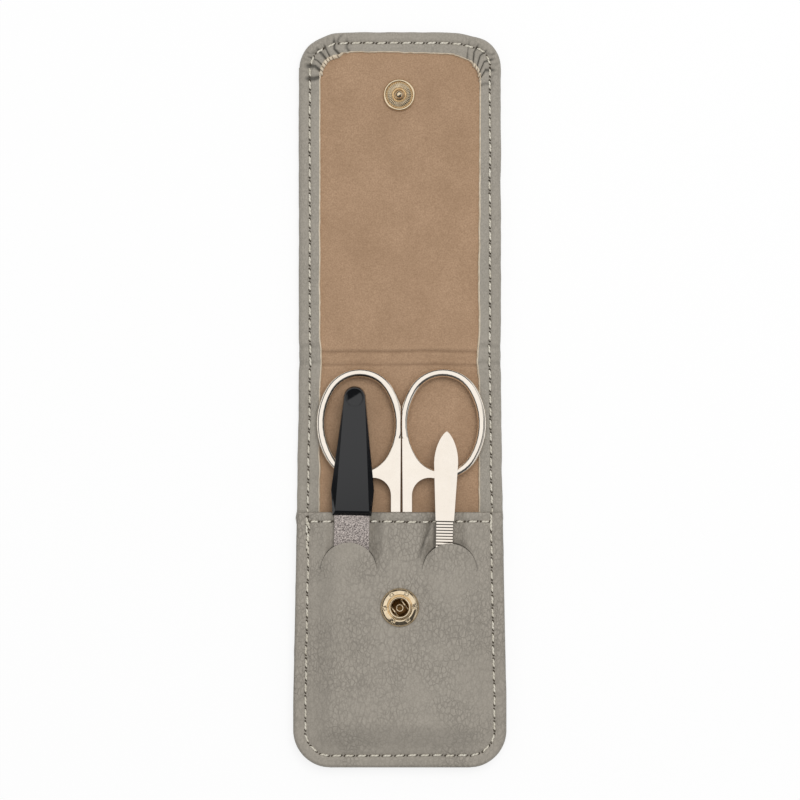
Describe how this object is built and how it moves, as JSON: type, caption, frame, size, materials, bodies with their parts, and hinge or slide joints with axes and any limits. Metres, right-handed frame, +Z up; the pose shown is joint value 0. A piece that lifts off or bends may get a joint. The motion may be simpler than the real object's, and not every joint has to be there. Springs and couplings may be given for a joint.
{
  "type": "manicure set case",
  "caption": "Folding grey leather case with a snap fastener, lying open, holding nail scissors, a nail file and tweezers in one pocket.",
  "frame": {"origin": "middle of the open case's rest face: middle of its length and width, on the underside of the leather", "axes": "+Z up out of the pocket, +Y along the case towards the end of the flap, +X across it to the right"},
  "size_m": [0.058, 0.2, 0.0106],
  "materials": {
    "grey_leather": "soft pebble grain, matt",
    "tan_suede": "napped suede",
    "card": "pressed fibre card",
    "pale_gold": "polished pale gold plating",
    "satin_nickel": "satin nickel, rings polished",
    "sapphire_grit": "fine sapphire grit",
    "black_plastic": "glossy black"
  },
  "bodies": {
    "pocket_body": {"leather_pocket_back": "grey_leather", "pocket_board": "card", "pocket_lining": "tan_suede", "pocket_front": "grey_leather", "snap_socket": "pale_gold", "socket_spring": "pale_gold", "socket_eyelet": "pale_gold"},
    "spine_body": {"leather_spine": "grey_leather", "spine_lining": "tan_suede"},
    "flap_body": {"leather_flap": "grey_leather", "flap_board": "card", "flap_lining": "tan_suede", "snap_stud": "pale_gold", "stud_rivet": "pale_gold"},
    "scissors_pivot": {"scissors_screw": "satin_nickel"},
    "scissors_left": {"scissors_left_half": "satin_nickel"},
    "scissors_right": {"scissors_right_half": "satin_nickel"},
    "file": {"file_blade": "sapphire_grit", "file_handle": "black_plastic"},
    "tweezers": {"tweezers_lower_arm": "satin_nickel"},
    "tweezers_top": {"tweezers_upper_arm": "satin_nickel"}
  },
  "joints": [
    {"name": "fold_spine", "type": "hinge", "parent": "pocket_body", "child": "spine_body", "pos_m": [0, 0.0092, 0.003], "axis": [1, 0, 0], "range_deg": [0, 90]},
    {"name": "fold_flap", "type": "hinge", "parent": "spine_body", "child": "flap_body", "pos_m": [0, 0.01739, 0.003], "axis": [1, 0, 0], "range_deg": [0, 90]},
    {"name": "scissors_slide", "type": "slide", "parent": "pocket_body", "child": "scissors_pivot", "axis": [0, -1, 0], "range_m": [-0.055, 0]},
    {"name": "scissors_left_open", "type": "hinge", "parent": "scissors_pivot", "child": "scissors_left", "pos_m": [0.00045, -0.0484, 0.00427], "axis": [0, 0, 1], "range_deg": [0, 10]},
    {"name": "scissors_right_open", "type": "hinge", "parent": "scissors_pivot", "child": "scissors_right", "pos_m": [0.00045, -0.0484, 0.00427], "axis": [0, 0, -1], "range_deg": [0, 10]},
    {"name": "file_slide", "type": "slide", "parent": "pocket_body", "child": "file", "axis": [-0.0227, -0.9991, -0.0349], "range_m": [-0.057, 0]},
    {"name": "tweezers_slide", "type": "slide", "parent": "pocket_body", "child": "tweezers", "axis": [-0.0227, -0.9988, -0.0436], "range_m": [-0.055, 0]},
    {"name": "tweezers_squeeze", "type": "hinge", "parent": "tweezers", "child": "tweezers_top", "pos_m": [0.01275, -0.00855, 0.0073], "axis": [0.9997, -0.0227, 0], "range_deg": [0, 0.85], "stiffness_Nm_per_rad": 0.3}
  ],
  "couplings": [
    {"joint": "scissors_right_open", "follows": "scissors_left_open", "ratio": 1}
  ]
}
